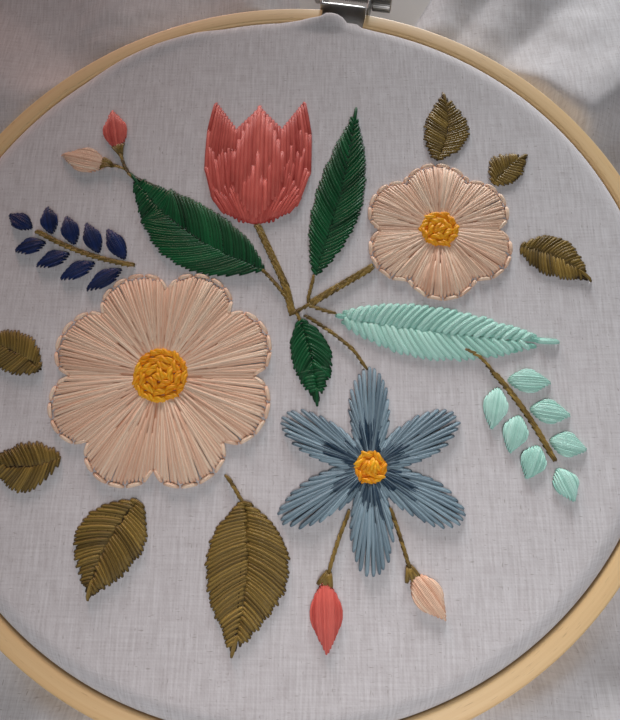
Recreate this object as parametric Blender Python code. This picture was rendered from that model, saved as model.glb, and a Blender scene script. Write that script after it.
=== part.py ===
"""Cotton cloth embroidered with a spray of flowers, held in a round wooden hoop that lies on a table.

The hoop's axis is the Z axis and it lies on z = 0. +Y is the top of the stitched picture, along the
warp of the cloth. The outer ring is split a little right of the top, where two plated brackets and a
screw draw its ends together. Lengths are in metres, and tables whose columns end in _mm hold millimetres.
"""

import math

import bmesh
import bpy
from mathutils import Matrix, Vector

MM = 0.001
CLEARANCE = 0.3 * MM        # between pieces that touch

# Hoop, a 20 cm one
RING_STEPS = 96
INNER_RING_BORE = 91.6 * MM
INNER_RING_RADIUS = 96.6 * MM
INNER_RING_HEIGHT = 10.1 * MM
OUTER_RING_BORE = 98.2 * MM
OUTER_RING_RADIUS = 103.0 * MM
OUTER_RING_HEIGHT = 9.0 * MM
RING_EDGE = 1.1 * MM        # rounding of the wood's edges

# Closure of the outer ring
CLOSURE_AZIMUTH = 80.5      # degrees from +X
GAP_HALF_ANGLE = 3.8        # degrees
METAL = 0.8 * MM
BRACKET_ANGLE = 7.0         # degrees of ring that a bracket's plate covers
BRACKET_LOW = 2.2 * MM
PLATE_HEIGHT = 6.2 * MM     # of the part along the ring
BRACKET_HEIGHT = 9.6 * MM   # of the ears, and of the tongue behind the gap
EAR_REACH = 14.0 * MM
SCREW_REACH = 9.5 * MM      # from the ring's outer face to the screw's axis
SCREW_RADIUS = 1.6 * MM
SCREW_HEAD_RADIUS = 3.4 * MM
SCREW_HEAD_LENGTH = 6.0 * MM
SCREW_TAIL = 4.5 * MM
NUT_RADIUS = 3.2 * MM
NUT_LENGTH = 2.6 * MM
ROUND_SIDES = 16

# Cloth
CLOTH = 1.0 * MM            # thickness of the solid
CLOTH_SIZE = 300.0 * MM     # side of the cut square
ROLL_REACH = 4.5 * MM       # how far in from the wall the cloth starts to bend over the inner ring
ROLL_DROP = 2.4 * MM
ROLL_STEPS = 3
FREE_RADIUS = OUTER_RING_RADIUS + CLEARANCE
SURPLUS_PLACES = (0.06, 0.16, 0.29, 0.43, 0.57, 0.71, 0.86, 1.0)
NOTCH_RADIUS = 107.5 * MM   # the surplus is short at the closure
FOLD_RUN_UP = 5.0 * MM      # distance over which a fold rises out of the flat
FOLD_TAKE_UP = 0.45         # how much a fold draws the cut edge in, for each unit of its height
FOLD_FOOT = 1.6             # a fold's foot reaches this many half widths

DRUM_WALL = OUTER_RING_BORE - CLEARANCE
DRUM_FLAT = DRUM_WALL - ROLL_REACH
DRUM_TOP = INNER_RING_HEIGHT + CLEARANCE + CLOTH
OUTER_RING_LOW = CLOTH + CLEARANCE

# Stitching
PAD_LOW = DRUM_TOP + CLEARANCE
PAD = 0.8 * MM
LEAF_STEPS = 6
LOBE_STEPS = 6
KNOT_TAPER = 0.7
SPRIG_STEM_WIDTH = 1.2      # millimetres, as are the two below
SPRIG_GAP = 1.3             # from a sprig's stem to the root of a fill
SPRIG_STEM_STEPS = 6
SPRIG_TAPER = 0.25          # how much shorter the fills are at the head

# Where the surplus is cut short: azimuth in degrees, share of the shortening
NOTCH = ((66.0, 0.0), (69.4, 1.0), (88.2, 1.0), (91.6, 0.0))

# Where the cloth is slack, at the ring's gap and left of it: azimuth in degrees, how far it bulges into the
# gap, stands up and laps over the wood beside it, in millimetres
SLACK = (
    (74.5, 0.0, 0.0, 0.0),
    (76.9, 0.0, 0.4, 0.0),
    (77.6, 1.0, 0.5, 0.0),
    (79.9, 1.0, 0.5, 0.0),
    (80.7, 2.0, 1.5, 0.4),
    (81.8, 2.3, 2.0, 0.6),
    (83.2, 2.3, 2.2, 0.8),
    (83.9, 1.2, 2.2, 1.1),
    (84.2, 0.0, 2.2, 1.3),
    (86.3, 0.0, 1.5, 0.8),
    (88.3, 0.0, 0.7, 0.3),
    (91.5, 0.0, 0.0, 0.0),
    (102.0, 0.0, 0.0, 0.0),
    (107.0, 0.0, 0.8, 0.5),
    (114.0, 0.0, 1.1, 0.7),
    (121.0, 0.0, 0.9, 0.5),
    (129.0, 0.0, 0.0, 0.0),
)

# Folds of the surplus: azimuth at the ring, azimuth at the cut edge, height_mm, half width_mm on the
# clockwise side, half width_mm on the other side
FOLDS = (
    (-52.0, -57.0, 5.5, 16.0, 12.0),
    (-30.0, -27.0, 6.5, 12.0, 17.0),
    (-6.0, -10.0, 4.0, 12.0, 14.0),
    (14.0, 19.0, 5.5, 15.0, 10.0),
    (36.5, 38.0, 9.0, 7.0, 28.0),
    (57.0, 55.0, 2.5, 12.0, 12.0),
    (65.5, 63.0, 3.0, 9.0, 7.0),
    (96.0, 97.5, 4.0, 7.0, 10.0),
    (119.0, 116.0, 3.5, 18.0, 14.0),
    (138.0, 141.0, 4.5, 16.0, 20.0),
    (163.0, 160.0, 4.5, 13.0, 11.0),
    (189.0, 193.0, 6.0, 17.0, 12.0),
    (214.0, 211.0, 8.0, 13.0, 18.0),
    (240.0, 244.0, 5.0, 12.0, 14.0),
    (262.0, 259.0, 6.0, 15.0, 11.0),
    (284.0, 286.0, 4.0, 11.0, 13.0),
)

# Leaves, petals and buds sewn as single fills: name, thread, base_mm, tip_mm, width_mm, bend_mm
FILLS = (
    ("leaf_green_left", "thread_green", (-5.5, 13.5), (-44.0, 43.0), 19.0, 4.0),
    ("leaf_green_up", "thread_green", (8.0, 11.5), (20.0, 64.0), 13.5, -1.5),
    ("leaf_green_heart", "thread_green", (4.5, -1.0), (9.0, -23.5), 10.5, 1.0),
    ("leaf_mint_right", "thread_mint", (13.0, 0.5), (70.0, -7.0), 14.5, -1.5),
    ("leaf_olive_foot_1", "thread_olive", (-8.5, -47.0), (-10.0, -81.0), 20.0, 2.0),
    ("leaf_olive_foot_2", "thread_olive", (-34.0, -47.0), (-44.0, -69.5), 17.0, -2.0),
    ("leaf_olive_foot_3", "thread_olive", (-54.0, -37.0), (-73.5, -37.5), 12.5, 2.0),
    ("leaf_olive_side", "thread_olive", (-62.0, -14.5), (-82.0, -6.0), 11.5, -1.5),
    ("leaf_olive_rim_1", "thread_olive", (63.0, 20.0), (81.0, 10.0), 12.0, 2.0),
    ("leaf_olive_rim_2", "thread_olive", (57.5, 39.0), (68.0, 48.5), 10.0, 1.0),
    ("leaf_olive_rim_3", "thread_olive", (42.5, 46.5), (45.5, 69.5), 13.0, -2.0),
    ("bud_coral_left", "thread_coral", (-48.5, 51.0), (-51.5, 65.0), 7.5, 0.0),
    ("bud_peach_left", "thread_peach", (-51.0, 46.0), (-65.0, 49.5), 8.5, 0.0),
    ("bud_coral_foot", "thread_coral", (11.0, -64.5), (11.5, -81.0), 8.0, 0.0),
    ("bud_peach_foot", "thread_peach", (31.0, -63.0), (38.5, -73.5), 7.5, 0.0),
)

# Sprigs of paired fills along a stem: name, thread of the fills, foot_mm, head_mm, bend_mm, pairs,
# fill length_mm, fill width_mm, spread in degrees
SPRIGS = (
    ("sprig_mint", "thread_mint", (53.5, -15.0), (66.5, -37.5), 1.0, 3, 12.0, 6.6, 50.0),
    ("sprig_navy", "thread_navy", (-40.5, 14.8), (-69.0, 25.5), 1.5, 4, 12.0, 5.2, 46.0),
)

# Open flowers: name, thread, centre_mm, radius_mm, notch radius_mm, petals, roundness, centre radius_mm
FLOWERS = (
    ("flower_large", "thread_peach", (-31.0, -16.0), 29.0, 23.0, 8, 0.45, 7.2),
    ("flower_small", "thread_peach", (42.0, 25.0), 20.0, 15.5, 6, 0.45, 5.2),
    ("flower_blue", "thread_blue", (22.0, -39.0), 25.5, 8.0, 6, 1.4, 4.2),
)

# Tulip cup, one side from its foot to the middle peak: across_mm, up_mm
TULIP_FOOT = (-8.0, 26.5)
TULIP_SIDE = ((4.6, 0.6), (11.0, 5.4), (14.6, 13.0), (15.6, 22.5), (14.8, 32.0), (13.0, 41.0), (6.6, 31.5))
TULIP_PEAK = 39.0

# Plain stems: name, points_mm, width_mm
STEMS = (
    ("stem_tulip", ((2.4, 0.5), (0.8, 8.0), (-3.2, 17.0), (-7.4, 25.6)), 1.7),
    ("stem_flower_small", ((7.0, 3.5), (13.0, 7.4), (19.0, 11.2), (24.2, 14.4)), 1.7),
)

THREAD_COLOURS = {
    "thread_green": "1B5A36",
    "thread_mint": "8CCDB9",
    "thread_olive": "6B5E26",
    "thread_coral": "CE6355",
    "thread_peach": "DDB39C",
    "thread_ochre": "E6981C",
    "thread_navy": "27355C",
    "thread_blue": "6F8CA3",
}


def linear(hex_colour):
    """Linear RGBA of an sRGB hex colour."""
    channels = [int(hex_colour[i:i + 2], 16) / 255 for i in (0, 2, 4)]
    return [c / 12.92 if c <= 0.04045 else ((c + 0.055) / 1.055) ** 2.4 for c in channels] + [1.0]


def material(name, hex_colour, roughness, metallic=0.0):
    """A Principled BSDF material, made once for each name."""
    if name in bpy.data.materials:
        return bpy.data.materials[name]
    made = bpy.data.materials.new(name)
    made.use_nodes = True
    shader = made.node_tree.nodes["Principled BSDF"]
    shader.inputs["Base Color"].default_value = linear(hex_colour)
    shader.inputs["Roughness"].default_value = roughness
    shader.inputs["Metallic"].default_value = metallic
    return made


def wood():
    return material("beech", "D2AC72", 0.5)


def cotton():
    return material("cotton_cloth", "CFCBC8", 0.9)


def plated_steel():
    return material("plated_steel", "A9AAA8", 0.3, 1.0)


def thread(name):
    return material(name, THREAD_COLOURS[name], 0.55)


def place(bm, name, finish, sharp_degrees=40.0, location=(0.0, 0.0, 0.0), parent=None):
    """Turn a bmesh into a named object with its material."""
    bmesh.ops.recalc_face_normals(bm, faces=bm.faces)
    mesh = bpy.data.meshes.new(name)
    bm.to_mesh(mesh)
    bm.free()
    mesh.materials.append(finish)
    mesh.shade_smooth()
    mesh.set_sharp_from_angle(angle=math.radians(sharp_degrees))
    made = bpy.data.objects.new(name, mesh)
    made.location = location
    made.parent = parent
    bpy.context.scene.collection.objects.link(made)
    return made


def read_table(rows, azimuth, column=1):
    """A column's value at an azimuth, straight between the rows of a table, and 0 outside it."""
    for before, after in zip(rows, rows[1:]):
        if before[0] <= azimuth <= after[0]:
            share = (azimuth - before[0]) / (after[0] - before[0])
            return before[column] + (after[column] - before[column]) * share
    return 0.0


def ring_section(bore, radius, low, height):
    """Edges of a ring's cross-section in the XZ plane, with rounded corners."""
    bm = bmesh.new()
    corners = ((bore, low), (radius, low), (radius, low + height), (bore, low + height))
    points = [bm.verts.new((r, 0.0, z)) for r, z in corners]
    bm.faces.new(points)
    bmesh.ops.bevel(bm, geom=bm.verts[:], offset=RING_EDGE, offset_type="OFFSET", segments=1,
                    profile=0.5, affect="VERTICES", material=-1)
    return bm


def outer_ring():
    """The split outer ring, clamped round the cloth, with flat ends at the closure."""
    bm = ring_section(OUTER_RING_BORE, OUTER_RING_RADIUS, OUTER_RING_LOW, OUTER_RING_HEIGHT)
    start = math.radians(CLOSURE_AZIMUTH + GAP_HALF_ANGLE)
    sweep = math.radians(360.0 - 2 * GAP_HALF_ANGLE)
    bmesh.ops.rotate(bm, verts=bm.verts, matrix=Matrix.Rotation(start, 3, "Z"))
    bmesh.ops.spin(bm, geom=bm.faces[:], cent=(0, 0, 0), axis=(0, 0, 1), angle=sweep,
                   steps=RING_STEPS - 2, use_merge=False)
    place(bm, "outer_ring", wood())


def inner_ring():
    """The whole inner ring, its outer top edge worn round where the cloth bends over it."""
    bm = bmesh.new()
    reach = ROLL_REACH - CLOTH - CLEARANCE
    drop = ROLL_DROP - CLOTH - CLEARANCE
    section = [(INNER_RING_BORE + RING_EDGE, 0.0), (INNER_RING_RADIUS, 0.0)]
    for step in range(ROLL_STEPS + 1):
        turn = math.radians(90.0 * (1 - step / ROLL_STEPS))
        section.append((INNER_RING_RADIUS - reach + reach * math.sin(turn),
                        INNER_RING_HEIGHT - drop + drop * math.cos(turn)))
    section += [(INNER_RING_BORE + RING_EDGE, INNER_RING_HEIGHT),
                (INNER_RING_BORE, INNER_RING_HEIGHT - RING_EDGE), (INNER_RING_BORE, RING_EDGE)]
    points = [bm.verts.new((r, 0.0, z)) for r, z in section]
    for a, b in zip(points, points[1:] + points[:1]):
        bm.edges.new((a, b))
    bmesh.ops.spin(bm, geom=bm.verts[:] + bm.edges[:], cent=(0, 0, 0), axis=(0, 0, 1),
                   angle=2 * math.pi, steps=RING_STEPS, use_merge=True)
    place(bm, "inner_ring", wood())


def fold_height(radius, share, azimuth):
    """Height of the surplus cloth over the table."""
    run_up = min(1.0, max(0.0, (radius - FREE_RADIUS - CLOTH) / FOLD_RUN_UP))
    rise = run_up * run_up * (3 - 2 * run_up)
    height = 0.0
    for at_ring, at_edge, height_mm, clockwise_mm, other_mm in FOLDS:
        spine = at_ring + (at_edge - at_ring) * share
        off = (azimuth - spine + 180.0) % 360.0 - 180.0
        width = (other_mm if off > 0 else clockwise_mm) * MM
        across = abs(math.radians(off)) * radius / (FOLD_FOOT * width)
        if across < 1.0:
            height = max(height, height_mm * MM * 0.5 * (1 + math.cos(math.pi * across)))
    return rise * height


def cut_radius(azimuth):
    """Distance from the hoop's axis to the cut edge of the cloth."""
    turn = math.radians(azimuth)
    square = 0.5 * CLOTH_SIZE / max(abs(math.cos(turn)), abs(math.sin(turn)))
    short = read_table(NOTCH, azimuth)
    square -= FOLD_TAKE_UP * fold_height(square, 1.0, azimuth)
    return square + (NOTCH_RADIUS - square) * short


def cloth_section(azimuth):
    """Points of the upper and lower skins along one radius, from the drum's flat to the cut edge."""
    bulge, rise, lap = (read_table(SLACK, azimuth, column) * MM for column in (1, 2, 3))
    skins = []
    for step in range(ROLL_STEPS + 1):
        turn = math.radians(90.0 * step / ROLL_STEPS)
        out = bulge * math.sin(turn) + lap * math.sin(2 * turn)
        up = DRUM_TOP + rise * math.sin(turn)
        inner_reach, inner_drop = ROLL_REACH - CLOTH, ROLL_DROP - CLOTH
        skins.append(((DRUM_FLAT + ROLL_REACH * math.sin(turn) + out, up - ROLL_DROP * (1 - math.cos(turn))),
                      (DRUM_FLAT + inner_reach * math.sin(turn) + out,
                       up - CLOTH - inner_drop * (1 - math.cos(turn)))))
    skins.append(((DRUM_WALL + 0.5 * bulge, CLOTH), (DRUM_WALL - CLOTH + 0.5 * bulge, 0.0)))
    edge = cut_radius(azimuth)
    for share in (0.0,) + SURPLUS_PLACES:
        radius = FREE_RADIUS + (edge - FREE_RADIUS) * share
        height = fold_height(radius, share, azimuth)
        skins.append(((radius, height + CLOTH), (radius, height)))
    return skins


def cloth():
    """The embroidered cloth: drum over the inner ring, wall between the rings, and loose surplus."""
    even = [360.0 * step / RING_STEPS for step in range(RING_STEPS)]
    extra = [row[0] for row in NOTCH + SLACK]
    azimuths = sorted(set(even + extra))
    bm = bmesh.new()
    upper, lower = [], []
    for azimuth in azimuths:
        turn = math.radians(azimuth)
        skins = cloth_section(azimuth)
        for skin, rows in ((0, upper), (1, lower)):
            points = [pair[skin] for pair in skins]
            rows.append([bm.verts.new((r * math.cos(turn), r * math.sin(turn), z)) for r, z in points])
    for here in range(len(azimuths)):
        after = (here + 1) % len(azimuths)
        for rows in (upper, lower):
            for k in range(len(rows[0]) - 1):
                bm.faces.new((rows[here][k], rows[here][k + 1], rows[after][k + 1], rows[after][k]))
        bm.faces.new((upper[here][-1], lower[here][-1], lower[after][-1], upper[after][-1]))
    bm.faces.new([row[0] for row in upper])
    bm.faces.new([row[0] for row in lower])
    place(bm, "cloth", cotton(), 60.0)


def stepped_prism(low_part, high_part):
    """An upright body over two outlines that share an edge, one part of it lower than the other."""
    bm = bmesh.new()
    corners = {}
    for point in low_part + high_part:
        if point not in corners:
            corners[point] = bm.verts.new((*point, BRACKET_LOW))
    feet = [bm.faces.new([corners[point] for point in part]) for part in (low_part, high_part)]
    raised = bmesh.ops.extrude_face_region(bm, geom=feet, use_keep_orig=True)["geom"]
    bmesh.ops.translate(bm, verts=[v for v in raised if isinstance(v, bmesh.types.BMVert)],
                        vec=(0, 0, PLATE_HEIGHT))
    tops = [f for f in raised if isinstance(f, bmesh.types.BMFace)]
    high_top = max(tops, key=lambda f: max(v.co.y for v in f.verts))
    raised = bmesh.ops.extrude_face_region(bm, geom=[high_top])["geom"]
    bmesh.ops.translate(bm, verts=[v for v in raised if isinstance(v, bmesh.types.BMVert)],
                        vec=(0, 0, BRACKET_HEIGHT - PLATE_HEIGHT))
    bmesh.ops.delete(bm, geom=[high_top], context="FACES_ONLY")
    return bm


def arc(radius, first, last, steps):
    """Points on an arc about the hoop's axis, its angles in degrees clockwise from +Y."""
    angles = [math.radians(first + (last - first) * step / steps) for step in range(steps + 1)]
    return [(radius * math.sin(a), radius * math.cos(a)) for a in angles]


def round_bar(radius, start, length, sides):
    """A bar along X."""
    bm = bmesh.new()
    along_x = Matrix.Translation((start + length / 2, 0, 0)) @ Matrix.Rotation(math.pi / 2, 4, "Y")
    bmesh.ops.create_cone(bm, cap_ends=True, segments=sides, radius1=radius, radius2=radius, depth=length,
                          matrix=along_x)
    return bm


def drill(body, cutter):
    """Cut a hidden cutter out of a body."""
    cutter.hide_render = True
    cutter.display_type = "WIRE"
    cut = body.modifiers.new("screw_hole", "BOOLEAN")
    cut.operation = "DIFFERENCE"
    cut.solver = "EXACT"
    cut.object = cutter


def closure():
    """Brackets on the ends of the outer ring, and the screw and nut that draw them together."""
    frame = bpy.data.objects.new("closure", None)
    frame.rotation_euler = (0, 0, math.radians(CLOSURE_AZIMUTH - 90.0))
    bpy.context.scene.collection.objects.link(frame)
    plate = OUTER_RING_RADIUS + CLEARANCE
    skin = plate + METAL
    end = GAP_HALF_ANGLE
    ear = OUTER_RING_RADIUS * math.sin(math.radians(end))
    ear_root = math.sqrt(skin ** 2 - ear ** 2)
    axis = Vector((0, OUTER_RING_RADIUS + SCREW_REACH, BRACKET_LOW + BRACKET_HEIGHT / 2))
    hole = round_bar(SCREW_RADIUS + CLEARANCE, -2 * ear, 4 * ear, ROUND_SIDES)
    cutter = place(hole, "screw_hole_cutter", plated_steel(), 40.0, axis, frame)
    ear_tip = OUTER_RING_RADIUS + EAR_REACH
    far = end + BRACKET_ANGLE
    outer_side = math.degrees(math.asin((ear + METAL) / skin))
    tongue_end = math.degrees(math.asin((ear - CLEARANCE) / plate))
    along = arc(plate, outer_side, far, 4) + arc(skin, far, outer_side, 3)
    standing = arc(plate, end, outer_side, 1) + [along[-1], (ear + METAL, ear_tip), (ear, ear_tip)]
    mirrored = [[(-x, y) for x, y in part] for part in (along, standing)]
    tongue = arc(skin, -end, tongue_end, 4) + arc(plate, tongue_end, -end, 4)[:-1]
    for name, low_part, high_part in (
        ("bracket_right", along, standing + [(ear, ear_root)]),
        ("bracket_left", mirrored[0], mirrored[1] + tongue),
    ):
        body = place(stepped_prism(low_part, high_part), name, plated_steel(), 40.0, (0, 0, 0), frame)
        drill(body, cutter)
    face = ear + METAL + CLEARANCE
    tail = -face - NUT_LENGTH - SCREW_TAIL
    bm = round_bar(SCREW_RADIUS, tail, face - tail, ROUND_SIDES)
    rim = [e for e in bm.edges if all(v.co.x > face - CLEARANCE / 2 for v in e.verts)]
    head_end = next(f for f in bm.faces if all(e in rim for e in f.edges))
    bmesh.ops.inset_region(bm, faces=[head_end], thickness=0.0, depth=0.0)
    spread = SCREW_HEAD_RADIUS / SCREW_RADIUS
    bmesh.ops.scale(bm, verts=head_end.verts, vec=(1, spread, spread))
    raised = bmesh.ops.extrude_face_region(bm, geom=[head_end])["geom"]
    bmesh.ops.translate(bm, verts=[v for v in raised if isinstance(v, bmesh.types.BMVert)],
                        vec=(SCREW_HEAD_LENGTH, 0, 0))
    bmesh.ops.delete(bm, geom=[head_end], context="FACES_ONLY")
    place(bm, "screw", plated_steel(), 40.0, axis, frame)
    hexagon = round_bar(NUT_RADIUS, -face - NUT_LENGTH, NUT_LENGTH, 6)
    nut = place(hexagon, "nut", plated_steel(), 25.0, axis, frame)
    drill(nut, cutter)


def loop_of(bm, outline):
    """A closed loop of edges through points in the XY plane."""
    points = [bm.verts.new((x * MM, y * MM, 0.0)) for x, y in outline]
    return [bm.edges.new((a, b)) for a, b in zip(points, points[1:] + points[:1])]


def stitched_pad(name, thread_name, centre, outline, hole=()):
    """A raised fill of thread on the cloth, its outline in millimetres from its centre."""
    bm = bmesh.new()
    edges = loop_of(bm, outline) + (loop_of(bm, hole) if hole else [])
    bmesh.ops.triangle_fill(bm, edges=edges, use_beauty=True)
    raised = bmesh.ops.extrude_face_region(bm, geom=bm.faces[:] + bm.edges[:] + bm.verts[:],
                                           use_keep_orig=True)["geom"]
    bmesh.ops.translate(bm, verts=[v for v in raised if isinstance(v, bmesh.types.BMVert)], vec=(0, 0, PAD))
    place(bm, name, thread(thread_name), 40.0, (centre[0] * MM, centre[1] * MM, PAD_LOW))


def leaf_outline(length_mm, width_mm, bend_mm):
    """A pointed leaf along +X from its base, its middle bent sideways."""
    sides = ([], [])
    for step in range(1, LEAF_STEPS + 1):
        along = step / (LEAF_STEPS + 1)
        half = 0.5 * width_mm * math.sin(math.pi * along ** 0.85) ** 0.9
        middle = bend_mm * 4 * along * (1 - along)
        sides[0].append((length_mm * along, middle - half))
        sides[1].append((length_mm * along, middle + half))
    return [(0.0, 0.0)] + sides[0] + [(length_mm, 0.0)] + sides[1][::-1]


def fill(name, thread_name, base, tip, width_mm, bend_mm):
    """One leaf, petal or bud between two points."""
    run = Vector(tip) - Vector(base)
    turn = math.atan2(run.y, run.x)
    outline = [(x * math.cos(turn) - y * math.sin(turn), x * math.sin(turn) + y * math.cos(turn))
               for x, y in leaf_outline(run.length, width_mm, bend_mm)]
    stitched_pad(name, thread_name, base, outline)


def stem(name, points, width_mm):
    """A stem through points, as wide all along."""
    left, right = [], []
    for here, point in enumerate(points):
        before = Vector(points[max(here - 1, 0)])
        after = Vector(points[min(here + 1, len(points) - 1)])
        side = (after - before).normalized().orthogonal() * width_mm / 2
        left.append(tuple(Vector(point) + side - Vector(points[0])))
        right.append(tuple(Vector(point) - side - Vector(points[0])))
    stitched_pad(name, "thread_olive", points[0], left + right[::-1])


def sprig(name, thread_name, foot, head, bend_mm, pairs, length_mm, width_mm, spread):
    """Pairs of fills along a bent stem, and one at its head."""
    foot, head = Vector(foot), Vector(head)
    run = head - foot
    side = run.normalized().orthogonal()

    def at(along):
        return foot + run * along + side * bend_mm * 4 * along * (1 - along)

    route = [tuple(at(step / SPRIG_STEM_STEPS)) for step in range(SPRIG_STEM_STEPS + 1)]
    stem(f"{name}_stem", route, SPRIG_STEM_WIDTH)
    for pair in range(pairs):
        along = (pair + 0.4) / pairs
        ahead = (at(along + 0.05) - at(along - 0.05)).normalized()
        for hand, label in ((1, "a"), (-1, "b")):
            turn = math.radians(hand * spread)
            aim = Vector((ahead.x * math.cos(turn) - ahead.y * math.sin(turn),
                          ahead.x * math.sin(turn) + ahead.y * math.cos(turn)))
            root = at(along) + ahead.orthogonal() * hand * SPRIG_GAP
            grown = length_mm * (1 - SPRIG_TAPER * along)
            tip = root + aim * grown
            fill(f"{name}_{pair + 1}{label}", thread_name, tuple(root), tuple(tip), width_mm, 0.0)
    ahead = (at(1.0) - at(0.95)).normalized()
    root = at(1.0) + ahead * SPRIG_GAP
    grown = length_mm * (1 - SPRIG_TAPER)
    fill(f"{name}_head", thread_name, tuple(root), tuple(root + ahead * grown), width_mm, 0.0)


def flower(name, thread_name, centre, radius_mm, notch_mm, petals, roundness, centre_mm):
    """Petals sewn as one lobed ring of long stitches, with a raised knotted centre."""
    outline, hole = [], []
    for step in range(petals * LOBE_STEPS):
        turn = 2 * math.pi * step / (petals * LOBE_STEPS)
        lobe = math.sin(math.pi * (step % LOBE_STEPS) / LOBE_STEPS) ** roundness
        reach = notch_mm + (radius_mm - notch_mm) * lobe
        outline.append((reach * math.cos(turn), reach * math.sin(turn)))
    for step in range(ROUND_SIDES):
        turn = 2 * math.pi * step / ROUND_SIDES
        rim = centre_mm + CLEARANCE / MM
        hole.append((rim * math.cos(turn), rim * math.sin(turn)))
    stitched_pad(f"{name}_petals", thread_name, centre, outline, hole)
    bm = bmesh.new()
    radius = centre_mm * MM
    bmesh.ops.create_cone(bm, cap_ends=True, segments=ROUND_SIDES, radius1=radius, radius2=KNOT_TAPER * radius,
                          depth=2 * PAD, matrix=Matrix.Translation((0, 0, PAD)))
    place(bm, f"{name}_knots", thread("thread_ochre"), 60.0, (centre[0] * MM, centre[1] * MM, PAD_LOW))


def tulip():
    """A tulip's cup with three peaks."""
    side = list(TULIP_SIDE)
    outline = side + [(0.0, TULIP_PEAK)] + [(-x, y) for x, y in side[::-1]]
    stitched_pad("tulip_cup", "thread_coral", TULIP_FOOT, outline)


def build():
    for old in list(bpy.data.objects):
        bpy.data.objects.remove(old)
    inner_ring()
    cloth()
    outer_ring()
    closure()
    for row in FILLS:
        fill(*row)
    for row in SPRIGS:
        sprig(*row)
    for row in FLOWERS:
        flower(*row)
    for row in STEMS:
        stem(*row)
    tulip()


build()
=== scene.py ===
import random
from collections import namedtuple
from math import asin, atan2, cos, degrees, hypot, pi, radians, sin, sqrt, tan

import bmesh
import bpy
import numpy as np
from mathutils import Matrix, Vector, noise


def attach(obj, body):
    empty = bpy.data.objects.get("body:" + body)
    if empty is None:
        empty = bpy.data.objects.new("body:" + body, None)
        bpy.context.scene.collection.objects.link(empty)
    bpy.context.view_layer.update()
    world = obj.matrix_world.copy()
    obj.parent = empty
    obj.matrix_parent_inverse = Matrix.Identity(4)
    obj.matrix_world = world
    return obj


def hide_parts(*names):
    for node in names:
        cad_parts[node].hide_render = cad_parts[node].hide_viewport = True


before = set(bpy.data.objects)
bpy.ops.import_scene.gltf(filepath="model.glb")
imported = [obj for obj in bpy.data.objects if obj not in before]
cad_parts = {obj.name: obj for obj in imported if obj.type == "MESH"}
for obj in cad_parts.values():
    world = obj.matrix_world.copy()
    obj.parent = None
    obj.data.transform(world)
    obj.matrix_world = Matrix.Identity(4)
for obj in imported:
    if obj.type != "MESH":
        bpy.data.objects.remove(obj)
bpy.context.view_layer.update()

MM = 0.001  # sizes and tables are in millimetres unless a comment says otherwise

# Inner ring
# A strip of beech bent into a closed hoop and planed flat, its upper outer edge rubbed round where the
# cloth is drawn over it. The cloth hides all of it but its underside.

RING_SEGMENTS = 320
INNER_BORE = 91.6
INNER_RADIUS = 97.3
INNER_TOP = 10.95
CLOSURE_AZIMUTH = 80.5  # degrees from +X, where the outer ring is split
GRAIN_RADIUS = 0.1  # in metres, turns an angle round the hoop into a length of strip

into_scene = bpy.context.scene.collection.objects.link


def linear(hex_colour):
    """Linear RGBA of an sRGB hex colour."""
    channels = [int(hex_colour[i:i + 2], 16) / 255 for i in (0, 2, 4)]
    return [c / 12.92 if c <= 0.04045 else ((c + 0.055) / 1.055) ** 2.4 for c in channels] + [1.0]


def give(node, inputs):
    """Set a node's inputs from values, from sockets or from nodes, whose first output in use is taken."""
    for key, value in inputs.items():
        if isinstance(value, bpy.types.Node):
            value = next(output for output in value.outputs if output.enabled)
        if isinstance(value, bpy.types.NodeSocket):
            node.id_data.links.new(value, node.inputs[key])
        else:
            node.inputs[key].default_value = value


def add(tree, kind, inputs, **settings):
    """A shader node with its settings and its inputs."""
    made = tree.nodes.new(f"ShaderNode{kind}")
    for key, value in settings.items():
        setattr(made, key, value)
    give(made, inputs)
    return made


def finish_named(name):
    """An empty material, its node tree and its Principled shader, which is already joined to the output."""
    made = bpy.data.materials.new(name)
    made.use_nodes = True
    return made, made.node_tree, made.node_tree.nodes["Principled BSDF"]


def scale_for(sizes_mm, unit_mm=1.0):
    """The scale that gives a noise marks of these sizes, for coordinates in units of this length."""
    return [unit_mm / size for size in sizes_mm]


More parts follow.
